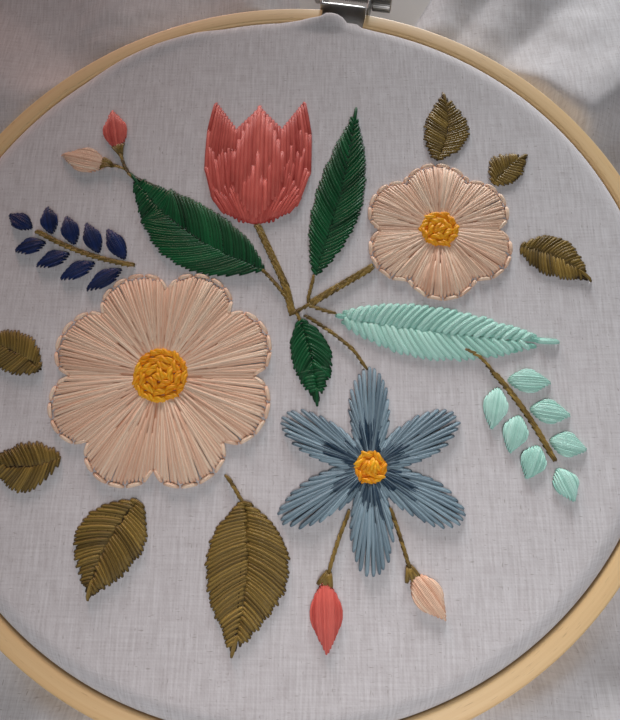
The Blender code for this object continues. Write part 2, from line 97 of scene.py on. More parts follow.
def waxed_beech():
    """Bent beech under thin wax: straight grain along the strip, short dark ray flecks, a soft shine."""
    made, tree, shader = finish_named("waxed_beech")
    place = add(tree, "TexCoord", {}).outputs["Object"]
    turned = add(tree, "VectorRotate", {"Vector": place, "Angle": radians(-CLOSURE_AZIMUTH)},
                 rotation_type="Z_AXIS")
    parts = add(tree, "SeparateXYZ", {"Vector": turned})
    angle = add(tree, "Math", {0: parts.outputs["Y"], 1: parts.outputs["X"]}, operation="ARCTAN2")
    along = add(tree, "Math", {0: angle, 1: GRAIN_RADIUS}, operation="MULTIPLY")
    across = add(tree, "VectorMath", {0: place}, operation="LENGTH")
    strip = add(tree, "CombineXYZ", {"X": along, "Y": across, "Z": parts.outputs["Z"]})
    marks = []
    for sizes, detail, roughness in (
        ((55.56, 0.9091, 1.111), 5.0, 0.6),         # grain: mm along the strip, across it and up
        ((111.1, 3.846, 5.0), 2.0, 0.5),            # broad bands of paler wood
        ((3.571, 0.3846, 0.3846), 1.0, 0.5),        # ray flecks
    ):
        spread = add(tree, "Mapping", {"Vector": strip, "Scale": scale_for(sizes, 1000.0)})
        marks.append(add(tree, "TexNoise", {"Vector": spread, "Scale": 1.0, "Detail": detail,
                                            "Roughness": roughness}))
    grain, bands, flecks = marks
    late = add(tree, "MapRange", {"Value": grain, "From Min": 0.42, "From Max": 0.75, "To Max": 0.3})
    fleck = add(tree, "MapRange", {"Value": flecks, "From Min": 0.66, "From Max": 0.78, "To Max": 0.3})
    colour = linear("EDC286")
    for share, mixed_in in ((bands, "F9DDAA"), (late, "D6A96C"), (fleck, "8F6436")):
        colour = add(tree, "Mix", {"Factor": share, "A": colour, "B": linear(mixed_in)}, data_type="RGBA")
    wax = add(tree, "MapRange", {"Value": grain, "To Min": 0.42, "To Max": 0.6})
    relief = add(tree, "Bump", {"Height": grain, "Strength": 0.25, "Distance": 0.0001})
    give(shader, {"Base Color": colour, "Roughness": wax, "Normal": relief, "Coat Weight": 0.3,
                  "Coat Roughness": 0.42})
    return made


BEECH = waxed_beech()


def keep(bm, name, finish, nodes, sharp_degrees=35.0):
    """Turn a bmesh in metres into a piece on the hoop's body that stands for its CAD nodes."""
    bmesh.ops.recalc_face_normals(bm, faces=bm.faces)
    mesh = bpy.data.meshes.new(name)
    bm.to_mesh(mesh)
    bm.free()
    mesh.materials.append(finish)
    mesh.shade_smooth()
    mesh.set_sharp_from_angle(angle=radians(sharp_degrees))
    piece = bpy.data.objects.new(name, mesh)
    into_scene(piece)
    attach(piece, "root")
    if nodes:
        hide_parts(*nodes)
    return piece


def round_off(bm, geom, offset_mm, segments, affect="EDGES"):
    """Round edges or corners off."""
    bmesh.ops.bevel(bm, geom=geom, offset=offset_mm * MM, offset_type="OFFSET", segments=segments,
                    profile=0.5, affect=affect, material=-1)


def spin(bm, geom, steps, angle=2 * pi):
    """Spin a section round the hoop's axis, closed on itself after a full turn."""
    bmesh.ops.spin(bm, geom=geom, cent=(0, 0, 0), axis=(0, 0, 1), angle=angle, steps=steps,
                   use_merge=angle == 2 * pi)


def ring_section(bore, radius, low, high, roundings):
    """The strip's cross-section as one face in the XZ plane, sizes in millimetres, its corners rounded."""
    bm = bmesh.new()
    places = ((bore, low), (radius, low), (radius, high), (bore, high))
    bm.faces.new([bm.verts.new((r * MM, 0.0, z * MM)) for r, z in places])
    for (r, z), rounding in zip(places, roundings):
        corner = min(bm.verts, key=lambda v: (v.co - Vector((r * MM, 0.0, z * MM))).length)
        round_off(bm, [corner], rounding, 5, "VERTICES")
    return bm


bm = ring_section(INNER_BORE, INNER_RADIUS, 0.0, INNER_TOP, (0.5, 0.5, 2.0, 0.5))
bmesh.ops.delete(bm, geom=bm.faces[:], context="FACES_ONLY")
spin(bm, bm.verts[:] + bm.edges[:], RING_SEGMENTS)
keep(bm, "inner_ring_bent", BEECH, ["inner_ring"])

# Cloth
# One square of slubby plain-weave cotton, cut 30 cm wide: stretched over the inner ring, pinched between
# the two rings and spread round the hoop in soft loose folds. Its top edge is short at the closure.

CLOTH = 0.42  # thickness
CLOTH_SIZE = 300.0
DRUM_TOP = 11.4
DRUM_FLAT = 93.4  # radius where the drum starts to roll over the inner ring
ROLL_REACH = 4.45  # how far the roll runs out from there
ROLL_DROP = 2.4  # and down
WALL_FOOT = 0.6  # where the wall ends over the table, and how far it turns out below
WALL_RUN = 7.6  # cloth that the roll and the wall take up
FREE_RADIUS = 103.3  # where the surplus comes free of the outer ring
NOTCH_RADIUS = 107.5  # of the cut edge at the closure
FOLD_RUN_UP = 5.0  # distance over which a fold rises out of the flat
FOLD_TAKE_UP = 0.45  # how much a fold draws the cut edge in, for each unit of its height
FOLD_FOOT = 1.6  # a fold's foot reaches this many half widths
CRUMPLES = ((0.06, 0.9), (0.16, 0.35))  # waves for each millimetre, height_mm
UNEVEN = ((0.03, 5.0, 0.26), (0.11, 2.0, 0.07))  # of the drum: waves for each millimetre, seed, height_mm
UNEVEN_RUN_UP = 12.0  # from the drum's edge to where it is fully uneven
YARN_PITCH = 0.48  # from one yarn to the next
AZIMUTH_STEPS = 384
DISC_STATIONS = (0.0, 2.5, 6.0, *range(10, 71, 5), 74.0, 78.0, 82.0, 85.0, 88.5, 91.5)
ROLL_STEPS = 9
WALL_STEPS = 4
UNDER_STEPS = 3
SURPLUS_STEPS = 36

# Where the surplus is cut short: azimuth in degrees, share of the shortening
NOTCH = ((66, 0), (69.4, 1), (88.2, 1), (91.6, 0))

# Where the cloth is slack, at the ring's gap and left of it: azimuth in degrees, how far it bulges into the
# gap, stands up and laps over the wood beside it, in millimetres
SLACK = (
    (74.5, 0, 0, 0),
    (76.9, 0, 0.4, 0),
    (77.6, 1, 0.5, 0),
    (79.9, 1, 0.5, 0),
    (80.7, 2, 1.5, 0.4),
    (81.8, 2.3, 2, 0.6),
    (83.2, 2.3, 2.2, 0.8),
    (83.9, 1.2, 2.2, 1.1),
    (84.2, 0, 2.2, 1.3),
    (86.3, 0, 1.5, 0.8),
    (88.3, 0, 0.7, 0.3),
    (91.5, 0, 0, 0),
    (102, 0, 0, 0),
    (107, 0, 0.8, 0.5),
    (114, 0, 1.1, 0.7),
    (121, 0, 0.9, 0.5),
    (129, 0, 0, 0),
)

# Folds of the surplus: azimuth at the ring, azimuth at the cut edge, height_mm, half width_mm on the
# clockwise side, half width_mm on the other side
FOLDS = (
    (-52, -57, 5.5, 16, 12),
    (-30, -27, 6.5, 12, 17),
    (-6, -10, 4, 12, 14),
    (14, 19, 5.5, 15, 10),
    (36.5, 38, 9, 7, 28),
    (57, 55, 2.5, 12, 12),
    (65.5, 63, 3, 9, 7),
    (96, 97.5, 4, 7, 10),
    (119, 116, 3.5, 18, 14),
    (138, 141, 4.5, 16, 20),
    (163, 160, 4.5, 13, 11),
    (189, 193, 6, 17, 12),
    (214, 211, 8, 13, 18),
    (240, 244, 5, 12, 14),
    (262, 259, 6, 15, 11),
    (284, 286, 4, 11, 13),
)


def between(rows, value, key=0, column=1):
    """One column of a table where another has a value, straight between its rows and level past its ends."""
    for before, after in zip(rows, rows[1:]):
        if before[key] <= value <= after[key]:
            share = (value - before[key]) / (after[key] - before[key])
            return before[column] + (after[column] - before[column]) * share
    return rows[-1][column] if value > rows[-1][key] else rows[0][column]


def fold_height(radius, share, azimuth):
    """Height of the surplus over the table in millimetres."""
    run_up = min(1.0, max(0.0, (radius - FREE_RADIUS - 1.0) / FOLD_RUN_UP))
    rise = run_up * run_up * (3 - 2 * run_up)
    height = 0.0
    for at_ring, at_edge, fold_mm, clockwise_mm, other_mm in FOLDS:
        spine = at_ring + (at_edge - at_ring) * share
        off = (azimuth - spine + 180.0) % 360.0 - 180.0
        width = other_mm if off > 0 else clockwise_mm
        across = abs(radians(off)) * radius / (FOLD_FOOT * width)
        if across < 1.0:
            height = max(height, fold_mm * 0.5 * (1 + cos(pi * across)))
    return rise * height


def cut_radius(azimuth):
    """Distance in millimetres from the hoop's axis to the cut edge of the cloth."""
    turn = radians(azimuth)
    square = 0.5 * CLOTH_SIZE / max(abs(cos(turn)), abs(sin(turn)))
    square -= FOLD_TAKE_UP * fold_height(square, 1.0, azimuth)
    return square + (NOTCH_RADIUS - square) * between(NOTCH, azimuth)


def cloth_station(station, azimuth):
    """Radius and height in millimetres of the cloth's lower face at a station out from the drum's middle."""
    lower = DRUM_TOP - CLOTH
    if station < len(DISC_STATIONS):
        return DISC_STATIONS[station], lower
    station -= len(DISC_STATIONS)
    bulge, rise, lap = (between(SLACK, azimuth, 0, column) for column in (1, 2, 3))
    reach = ROLL_REACH - CLOTH
    drop = ROLL_DROP - CLOTH
    if station <= ROLL_STEPS:       # over the inner ring's edge
        turn = radians(90.0 * station / ROLL_STEPS)
        out = (reach + bulge) * sin(turn) + lap * sin(2 * turn)
        return DRUM_FLAT + out, lower + rise * sin(turn) - drop * (1 - cos(turn))
    station -= ROLL_STEPS
    wall = DRUM_FLAT + reach
    if station <= WALL_STEPS:       # down between the rings
        down = station / WALL_STEPS
        return wall + bulge * (1 - 0.5 * down), (lower - drop + rise) * (1 - down) + WALL_FOOT * down
    station -= WALL_STEPS
    if station <= UNDER_STEPS:      # out under the outer ring
        foot = wall + WALL_FOOT
        return foot + (FREE_RADIUS - foot) * station / UNDER_STEPS, 0.0
    share = (station - UNDER_STEPS) / SURPLUS_STEPS     # the rest is surplus
    radius = FREE_RADIUS + (cut_radius(azimuth) - FREE_RADIUS) * share
    loose = min(1.0, (radius - FREE_RADIUS) / FOLD_RUN_UP)
    height = fold_height(radius, share, azimuth)
    turn = radians(azimuth)
    spot = Vector((radius * cos(turn), radius * sin(turn), 0.0))
    crumple = sum(noise.noise(spot * waves) * high for waves, high in CRUMPLES)
    # Cloth that lies flat creases a third as much as a fold of 2 mm or more
    return radius, max(0.0, height + loose * crumple * min(1.0, 0.35 + height / 3.0))


def slack_height(x, y):
    """How far the drum, drawn unevenly by the stitching, stands over its mean height, in millimetres."""
    calm = min(1.0, max(0.0, (DRUM_FLAT - hypot(x, y)) / UNEVEN_RUN_UP))
    return calm * sum(high * noise.noise((x * waves, y * waves, seed)) for waves, seed, high in UNEVEN)


def plain_weave():
    """Unbleached plain-weave cotton with uneven yarns: fine crossed streaks, slubs, darker flecks, no shine."""
    made, tree, shader = finish_named("slubby_cotton")
    flat = add(tree, "UVMap", {}, uv_map="flat_mm")
    yarns = []
    for sizes in ((0.5882, 9.091, 1.0), (9.091, 0.5263, 1.0)):      # mm across a thick run of yarn and along
        stretched = add(tree, "Mapping", {"Vector": flat, "Scale": scale_for(sizes)})
        yarns.append(add(tree, "TexNoise", {"Vector": stretched, "Scale": 1.0, "Detail": 3.0,
                                            "Roughness": 0.55}))
    crossed = add(tree, "Math", {0: yarns[1], 1: 0.55, 2: yarns[0]}, operation="MULTIPLY_ADD")
    streak = add(tree, "MapRange", {"Value": crossed, "From Min": 0.5, "From Max": 1.05})
    flecks = []
    for sizes in ((0.4545, 1.818, 1.0), (2.0, 0.4167, 1.0)):        # mm of a dark fleck in each set
        stretched = add(tree, "Mapping", {"Vector": flat, "Scale": scale_for(sizes), "Location": (40, 17, 0)})
        found = add(tree, "TexNoise", {"Vector": stretched, "Scale": 1.0, "Detail": 1.0})
        flecks.append(add(tree, "MapRange", {"Value": found, "From Min": 0.67, "From Max": 0.79,
                                             "To Max": 0.55}))
    fleck = add(tree, "Math", {0: flecks[0], 1: flecks[1]}, operation="MAXIMUM")
    cloud = add(tree, "TexNoise", {"Vector": flat, "Scale": 1 / 4.545, "Detail": 4.0, "Roughness": 0.7})
    shaded = add(tree, "MapRange", {"Value": cloud, "From Min": 0.5, "From Max": 0.75, "To Max": 0.22})
    colour = linear("C6C3C4")
    for share, mixed_in in ((streak, "E3E2E4"), (fleck, "948C88"), (shaded, "ADA4A4")):
        colour = add(tree, "Mix", {"Factor": share, "A": colour, "B": linear(mixed_in)}, data_type="RGBA")
    axes = add(tree, "SeparateXYZ", {"Vector": flat})
    waves = []
    for axis in ("X", "Y"):
        phase = add(tree, "Math", {0: axes.outputs[axis], 1: pi / YARN_PITCH}, operation="MULTIPLY")
        waves.append(add(tree, "Math", {0: phase}, operation="SINE"))
    over_under = add(tree, "Math", {0: waves[0], 1: waves[1]}, operation="MULTIPLY")
    weave = add(tree, "Math", {0: over_under, 1: 0.22, 2: crossed}, operation="MULTIPLY_ADD")
    relief = add(tree, "Bump", {"Height": weave, "Strength": 0.2, "Distance": 0.0001})
    give(shader, {"Base Color": colour, "Normal": relief, "Roughness": 0.92, "Specular IOR Level": 0.2,
                  "Sheen Weight": 0.12, "Sheen Roughness": 0.5})
    return made


def stretched_cloth():
    """The cloth as one sheet: a line of stations spun into a disc, and each point put on its section."""
    stations = len(DISC_STATIONS) + ROLL_STEPS + WALL_STEPS + UNDER_STEPS + SURPLUS_STEPS + 1
    bm = bmesh.new()
    line = [bm.verts.new((station, 0.0, 0.0)) for station in range(stations)]
    for a, b in zip(line, line[1:]):
        bm.edges.new((a, b))
    spin(bm, bm.verts[:] + bm.edges[:], AZIMUTH_STEPS)
    bmesh.ops.remove_doubles(bm, verts=bm.verts, dist=1e-4)
    flat_mm = bm.loops.layers.uv.new("flat_mm")
    unrolled = {}
    for vert in bm.verts:
        station = round(hypot(vert.co.x, vert.co.y))
        turn = atan2(vert.co.y, vert.co.x)
        radius, height = cloth_station(station, degrees(turn))
        if station <= len(DISC_STATIONS):
            height += slack_height(radius * cos(turn), radius * sin(turn))
        rolled = max(0, station - len(DISC_STATIONS))
        spread = radius + min(rolled / (ROLL_STEPS + WALL_STEPS), 1.0) * WALL_RUN
        unrolled[vert] = (spread * cos(turn), spread * sin(turn))
        vert.co = (radius * cos(turn) * MM, radius * sin(turn) * MM, height * MM)
    for face in bm.faces:
        for loop in face.loops:
            loop[flat_mm].uv = unrolled[loop.vert]
    piece = keep(bm, "cloth_stretched", plain_weave(), ["cloth"], 80.0)
    # The thickness has to grow upward, so most of the sheet has to face up
    if sum(face.normal.z * face.area for face in piece.data.polygons) < 0:
        piece.data.flip_normals()
    thick = piece.modifiers.new("thickness", "SOLIDIFY")
    thick.thickness = CLOTH * MM
    thick.offset = 1.0
    thick.use_even_offset = False
    return piece


stretched_cloth()

# Outer ring
# A second strip of the same beech, split at the closure and clamped round the cloth. Its long top edges
# are sanded round.

OUTER_BORE = 98.2
OUTER_RADIUS = 103.0
OUTER_LOW = 1.3
OUTER_HIGH = 10.3
GAP_HALF_ANGLE = 3.8

bm = ring_section(OUTER_BORE, OUTER_RADIUS, OUTER_LOW, OUTER_HIGH, (0.8, 0.8, 0.6, 0.8))
start = radians(CLOSURE_AZIMUTH + GAP_HALF_ANGLE)
bmesh.ops.rotate(bm, verts=bm.verts, matrix=Matrix.Rotation(start, 3, "Z"))
spin(bm, bm.faces[:], RING_SEGMENTS, radians(360.0 - 2 * GAP_HALF_ANGLE))
keep(bm, "outer_ring_bent", BEECH, ["outer_ring"])

# Closure
# Two bent strips of nickel-plated steel on the ends of the outer ring, one with a tongue behind the gap,
# drawn together by a threaded screw with a milled head and a hexagon nut.

METAL = 0.8
PLATE = OUTER_RADIUS + 0.3
SKIN = PLATE + METAL
BRACKET_ANGLE = 7.0
BRACKET_LOW = 2.2
PLATE_TOP = 8.4  # of the part along the ring
BRACKET_TOP = 11.8  # of the ears, and of the tongue behind the gap
EAR = OUTER_RADIUS * sin(radians(GAP_HALF_ANGLE))
EAR_TIP = OUTER_RADIUS + 14.0
EAR_ROUNDING = 2.2
CLOSE = 1e-6  # metres, nearer than this is the same place
SCREW_RADIUS = 1.6
THREAD_PITCH = 0.7
THREAD_DEPTH = 0.3
TURN_STEPS = 20
HEAD_FACE = EAR + METAL + 0.3
HEAD_RADIUS = 3.4
HEAD_LENGTH = 6.0
HEAD_TEETH = 40
MILLED = 0.95  # radius between two teeth of the head, as a share of the whole
NUT_RADIUS = 3.2
NUT_LENGTH = 2.6
TAIL_END = -HEAD_FACE - NUT_LENGTH - 4.5
CLOSURE_TURN = Matrix.Rotation(radians(CLOSURE_AZIMUTH - 90.0), 4, "Z")
SCREW_PLACE = CLOSURE_TURN @ Matrix.Translation(
    (0, (OUTER_RADIUS + 9.5) * MM, (BRACKET_LOW + BRACKET_TOP) / 2 * MM))


def nickel_plate():
    """Bright nickel over rolled steel: grey mirror softened by handling, with fine rubbed marks."""
    made, tree, shader = finish_named("nickel_plated_steel")
    place = add(tree, "TexCoord", {}).outputs["Object"]
    spread = add(tree, "Mapping", {"Vector": place, "Scale": scale_for((1.429, 1.429, 0.2778), 1000.0)})
    rubbed = add(tree, "TexNoise", {"Vector": spread, "Scale": 1.0, "Detail": 4.0})
    handled = add(tree, "TexNoise", {"Vector": place, "Scale": 1000 / 3.125, "Detail": 2.0})
    tone = add(tree, "Mix", {"Factor": handled, "A": linear("8E8F8D"), "B": linear("BDBDBA")},
               data_type="RGBA")
    dull = add(tree, "MapRange", {"Value": rubbed, "To Min": 0.22, "To Max": 0.46})
    relief = add(tree, "Bump", {"Height": rubbed, "Strength": 0.08, "Distance": 0.00005})
    give(shader, {"Base Color": tone, "Roughness": dull, "Normal": relief, "Metallic": 1.0})
    return made


NICKEL = nickel_plate()


def arc(radius, first, last, steps):
    """Points on an arc about the hoop's axis, its angles in degrees clockwise from +Y."""
    angles = [radians(first + (last - first) * step / steps) for step in range(steps + 1)]
    return [(radius * sin(a), radius * cos(a)) for a in angles]


def extruded_up(bm, faces, height_mm, keep_first=False):
    """Extrude faces upward, and return the new tops."""
    raised = bmesh.ops.extrude_face_region(bm, geom=faces, use_keep_orig=keep_first)["geom"]
    verts = [v for v in raised if isinstance(v, bmesh.types.BMVert)]
    bmesh.ops.translate(bm, verts=verts, vec=(0, 0, height_mm * MM))
    return [f for f in raised if isinstance(f, bmesh.types.BMFace)]


def bracket(name, node, along, standing):
    """A strip of metal bent to two outlines that share an edge, the ear cut round and taller than the plate."""
    bm = bmesh.new()
    corners = {}
    for x, y in along + standing:
        if (x, y) not in corners:
            corners[(x, y)] = bm.verts.new((x * MM, y * MM, BRACKET_LOW * MM))
    feet = [bm.faces.new([corners[point] for point in part]) for part in (along, standing)]
    tops = extruded_up(bm, feet, PLATE_TOP - BRACKET_LOW, True)
    high_top = max(tops, key=lambda f: max(v.co.y for v in f.verts))
    extruded_up(bm, [high_top], BRACKET_TOP - PLATE_TOP)
    bmesh.ops.delete(bm, geom=[high_top], context="FACES_ONLY")
    bmesh.ops.recalc_face_normals(bm, faces=bm.faces)
    tips = [e for e in bm.edges if all(abs(v.co.y - EAR_TIP * MM) < CLOSE for v in e.verts)
            and abs(e.verts[0].co.z - e.verts[1].co.z) < CLOSE
            and any(abs(e.verts[0].co.z - level * MM) < CLOSE for level in (BRACKET_LOW, BRACKET_TOP))]
    round_off(bm, tips, EAR_ROUNDING, 5)
    rim = [e for e in bm.edges if len(e.link_faces) == 2 and e.calc_face_angle(0.0) > radians(50)]
    round_off(bm, rim, 0.16, 2)
    bmesh.ops.transform(bm, matrix=CLOSURE_TURN, verts=bm.verts)
    keep(bm, name, NICKEL, [node], 30.0)


far_angle = GAP_HALF_ANGLE + BRACKET_ANGLE
outer_side = degrees(asin((EAR + METAL) / SKIN))
tongue_end = degrees(asin((EAR - 0.3) / PLATE))
along = arc(PLATE, outer_side, far_angle, 8) + arc(SKIN, far_angle, outer_side, 6)
standing = arc(PLATE, GAP_HALF_ANGLE, outer_side, 1) + [along[-1], (EAR + METAL, EAR_TIP), (EAR, EAR_TIP)]
tongue = arc(SKIN, -GAP_HALF_ANGLE, tongue_end, 8) + arc(PLATE, tongue_end, -GAP_HALF_ANGLE, 8)[:-1]
ear_root = (EAR, sqrt(SKIN ** 2 - EAR ** 2))
bracket("bracket_right_bent", "bracket_right", along, standing + [ear_root])
along_left, standing_left = ([(-x, y) for x, y in part] for part in (along, standing))
bracket("bracket_left_bent", "bracket_left", along_left, standing_left + tongue)


def bar_along_x(bm, start, length, radius, sides):
    """A closed round or many-sided bar along X, sizes in millimetres."""
    along = Matrix.Translation(((start + length / 2) * MM, 0, 0)) @ Matrix.Rotation(pi / 2, 4, "Y")
    bmesh.ops.create_cone(bm, cap_ends=True, segments=sides, radius1=radius * MM, radius2=radius * MM,
                          depth=length * MM, matrix=along)


def threaded_screw():
    """A cut thread wound on its core, and a head milled for the fingers."""
    bm = bmesh.new()
    core = SCREW_RADIUS - THREAD_DEPTH
    bar_along_x(bm, TAIL_END, HEAD_FACE + 1.0 - TAIL_END, core, 24)
    profile = ((0.3, core - 0.1), (0.58, SCREW_RADIUS), (0.86, core - 0.1))
    ridge = bm.faces.new([bm.verts.new(((TAIL_END + x) * MM, 0.0, r * MM)) for x, r in profile])
    turns = int((HEAD_FACE - TAIL_END - 0.9) / THREAD_PITCH)
    bmesh.ops.spin(bm, geom=[ridge], cent=(0, 0, 0), axis=(1, 0, 0), angle=2 * pi * turns,
                   steps=TURN_STEPS * turns, dvec=(THREAD_PITCH / TURN_STEPS * MM, 0, 0), use_merge=False)
    bar_along_x(bm, HEAD_FACE, HEAD_LENGTH, HEAD_RADIUS, 2 * HEAD_TEETH)
    round_off(bm, [e for f in bm.faces if len(f.verts) == 2 * HEAD_TEETH for e in f.edges], 0.45, 3)
    for vert in bm.verts:
        tooth = round((atan2(vert.co.z, vert.co.y) / pi) * HEAD_TEETH)
        if tooth % 2 and hypot(vert.co.y, vert.co.z) > (HEAD_RADIUS - 0.2) * MM:
            vert.co.y *= MILLED
            vert.co.z *= MILLED
    bmesh.ops.transform(bm, matrix=SCREW_PLACE, verts=bm.verts)
    keep(bm, "screw_milled", NICKEL, ["screw"], 30.0)


threaded_screw()

bm = bmesh.new()
bar_along_x(bm, -HEAD_FACE - NUT_LENGTH, NUT_LENGTH, NUT_RADIUS, 6)
round_off(bm, bm.edges[:], 0.25, 2)
bmesh.ops.transform(bm, matrix=SCREW_PLACE, verts=bm.verts)
keep(bm, "nut_hexagon", NICKEL, ["nut"], 25.0)

# Leaves and buds
# Sewn by hand in stranded cotton: each stitch is as many strands as the needle held, up through the cloth,
# over it and down again. The leaves are fishbone stitch, each side slanting out from the midrib.

STRAND = 0.2  # radius of a strand in millimetres
SPREAD = 0.29  # from one strand of a stitch to the next
LIFT = 0.5  # a stitch's middle over the cloth
BED_LIFT = 0.16  # the same for the bed of stitches under a fill
CROWN = 0.36  # how much higher the middle of a stitch lies than its sides
PAINTED_SHADE = 0.36  # how much darker its side strands are painted, as shade in the hollow down between it and the next stitch, and how much paler its middle strand is, as a painted highlight on its crown
SIDES_RESOLUTION = 1  # gives six sides to a strand
FINE_PITCH = 0.66  # from one stitch to the next where the needle holds two strands

uniform = random.Random(20).uniform


def stranded_cotton(name, dark, light):
    """Mercerised stranded cotton: twisted fibres with a soft sheen, its tone running from painted shade where
    it dips into the cloth and between stitches to a painted highlight on the crests.
    """
    made, tree, shader = finish_named(name)
    tone = add(tree, "Attribute", {}, attribute_name="tone").outputs["Fac"]
    strand_mm = add(tree, "UVMap", {}, uv_map="strand_mm")
    # A fibre is 0.015 mm thick, too fine to draw, so these are bundles of them 0.11 mm wide
    twisted = add(tree, "Mapping", {"Vector": strand_mm, "Rotation": (0, 0, radians(24)),
                                    "Scale": scale_for((1.429, 0.1111, 1.0))})
    fibre = add(tree, "TexNoise", {"Vector": twisted, "Scale": 1.0, "Detail": 3.0})
    mixed = add(tree, "Math", {0: fibre, 1: 0.5}, operation="SUBTRACT")
    toned = add(tree, "Math", {0: mixed, 1: 0.45, 2: tone}, operation="MULTIPLY_ADD", use_clamp=True)
    # The dye's colour with painted shade and highlight: dark hex at low tone, light hex at high tone
    dyed_and_painted_shade = add(tree, "Mix", {"Factor": toned, "A": linear(dark), "B": linear(light)}, data_type="RGBA")
    relief = add(tree, "Bump", {"Height": fibre, "Strength": 0.5, "Distance": 0.00008})
    give(shader, {"Base Color": dyed_and_painted_shade, "Normal": relief, "Roughness": 0.46, "Specular IOR Level": 0.3,
                  "Sheen Weight": 0.06, "Sheen Roughness": 0.4})
    return made


# The dye lots with painted light: hex in the hollows as painted shade, hex on the crests as painted highlight,
# strands in the needle
DYES_AND_PAINTED_SHADE = {
    "green": ("03200F", "1B7040", 3),
    "mint": ("8CC8B8", "D4FFF3", 5),
    "olive": ("2C1C06", "AC9049", 3),
    "coral": ("AC2E2A", "FA8678", 4),
    "peach": ("D89A76", "FFE9D0", 3),
    "ochre": ("E87C00", "FFC22A", 3),
    "navy": ("050918", "1E3876", 3),
    "blue": ("1E3A50", "A2BCC8", 3),
}
THREADS = {dye: stranded_cotton(f"stranded_cotton_{dye}", dark, light)
           for dye, (dark, light, _) in DYES_AND_PAINTED_SHADE.items()}


def about(reach):
    """A random number between minus and plus a reach."""
    return uniform(-reach, reach)


def stitch(start, end, lift=LIFT, tone=0.5, bow=0.0):
    """One stitch as its ends on the cloth, its lift, its tone and its sideways bow, in millimetres."""
    return Vector(start), Vector(end), lift, tone + about(0.16), bow


def pitch_of(dye):
    """From one stitch to the next in millimetres, as wide as its strands lie."""
    return SPREAD * DYES_AND_PAINTED_SHADE[dye][2]


def strands_of(row, count):
    """The paths of the strands of one stitch, each with eight points and a tone, its side strands painted
    darker as shade and its middle one paler as a painted highlight.
    """
    start, end, lift, tone, bow = row
    run = end - start
    length = max(run.length, 0.2)
    ground = DRUM_TOP + slack_height((start.x + end.x) / 2, (start.y + end.y) / 2)
    side = run.orthogonal() / length
    # Out of its hole within 0.28 mm, nearly at its full height 1.1 mm from it
    dip = min(0.28 / length, 0.1)
    rise = min(1.1 / length, 0.24)
    places = (0.0, dip, rise, 0.38, 0.62, 1 - rise, 1 - dip, 1.0)
    heights = (-0.3, 0.18, lift * 0.82, lift, lift, lift * 0.82, 0.18, -0.3)
    apart = (0.0, 0.35, 0.9, 1.0, 1.0, 0.9, 0.35, 0.0)
    middle = (count - 1) / 2
    made = []
    for strand in range(count):
        hand = strand - middle
        off = (hand / (middle + 0.5)) ** 2
        higher = CROWN * (1 - off) + about(0.04)
        # Painted shade on the side strands and a painted highlight on the middle one, with a random tone on top
        painted_shade_and_tone = PAINTED_SHADE * (0.4 - off) + about(0.09)
        path = []
        for along, height, open_share in zip(places, heights, apart):
            shift = hand * SPREAD * open_share + bow * 4 * along * (1 - along)
            spot = start + run * along + side * shift
            path.append((spot.x, spot.y, ground + height + (higher if open_share > 0.5 else 0.0)))
        made.append((path, tone + painted_shade_and_tone))
    return made


def lay(name, laid, dye, nodes, strand, resolution=SIDES_RESOLUTION):
    """Make one piece of threads from their paths, each closed to a point at both ends."""
    curve = bpy.data.curves.new(name, "CURVE")
    curve.dimensions = "3D"
    curve.bevel_depth = strand * MM
    curve.bevel_resolution = resolution
    for path, _ in laid:
        spline = curve.splines.new("POLY")
        spline.points.add(len(path) - 1)
        flat = [value for x, y, z in path for value in (x * MM, y * MM, z * MM, 1.0)]
        spline.points.foreach_set("co", flat)
        spline.points.foreach_set("radius", [0.0] + [1.0] * (len(path) - 2) + [0.0])
        spline.use_smooth = True
    source = bpy.data.objects.new(name, curve)
    mesh = bpy.data.meshes.new_from_object(source)
    bpy.data.objects.remove(source)
    bpy.data.curves.remove(curve)
    sides = 4 + 2 * resolution
    tones = []
    along_mm = []
    for path, tone in laid:
        steps = np.linalg.norm(np.diff(np.array(path), axis=0), axis=1)
        along_mm.append(np.repeat(np.concatenate([[0.0], np.cumsum(steps)]) + uniform(0, 40), sides))
        # Painted shade: the tone falls to nothing at a strand's ends, where it goes down into its hole in the
        # cloth
        painted_hole_shade = np.ones(len(path))
        painted_hole_shade[[0, 1, -2, -1]] = (0.0, 0.5, 0.5, 0.0)
        tones.append(np.repeat(tone * painted_hole_shade, sides))
    attribute = mesh.attributes.new("tone", "FLOAT", "POINT")
    attribute.data.foreach_set("value", np.concatenate(tones))
    corner = np.empty(len(mesh.loops), dtype=np.int32)
    mesh.loops.foreach_get("vertex_index", corner)
    uv = np.empty(2 * len(mesh.loops))
    mesh.uv_layers[0].uv.foreach_get("vector", uv)
    uv = uv.reshape(-1, 2)
    uv[:, 0] = np.concatenate(along_mm)[corner]
    uv[:, 1] *= 2 * pi * strand
    mesh.uv_layers[0].uv.foreach_set("vector", uv.ravel())
    mesh.uv_layers[0].name = "strand_mm"
    bm = bmesh.new()
    bm.from_mesh(mesh)
    bpy.data.meshes.remove(mesh)
    bmesh.ops.remove_doubles(bm, verts=bm.verts, dist=1e-7)
    keep(bm, name, THREADS[dye], nodes, 180.0)


def sew(name, rows, dye, nodes, strand=STRAND, count=0):
    """Sew some stitches as one piece, with the thread's own count of strands if none is given."""
    laid = [made for row in list(rows) for made in strands_of(row, count or DYES_AND_PAINTED_SHADE[dye][2])]
    lay(name, laid, dye, nodes, strand)


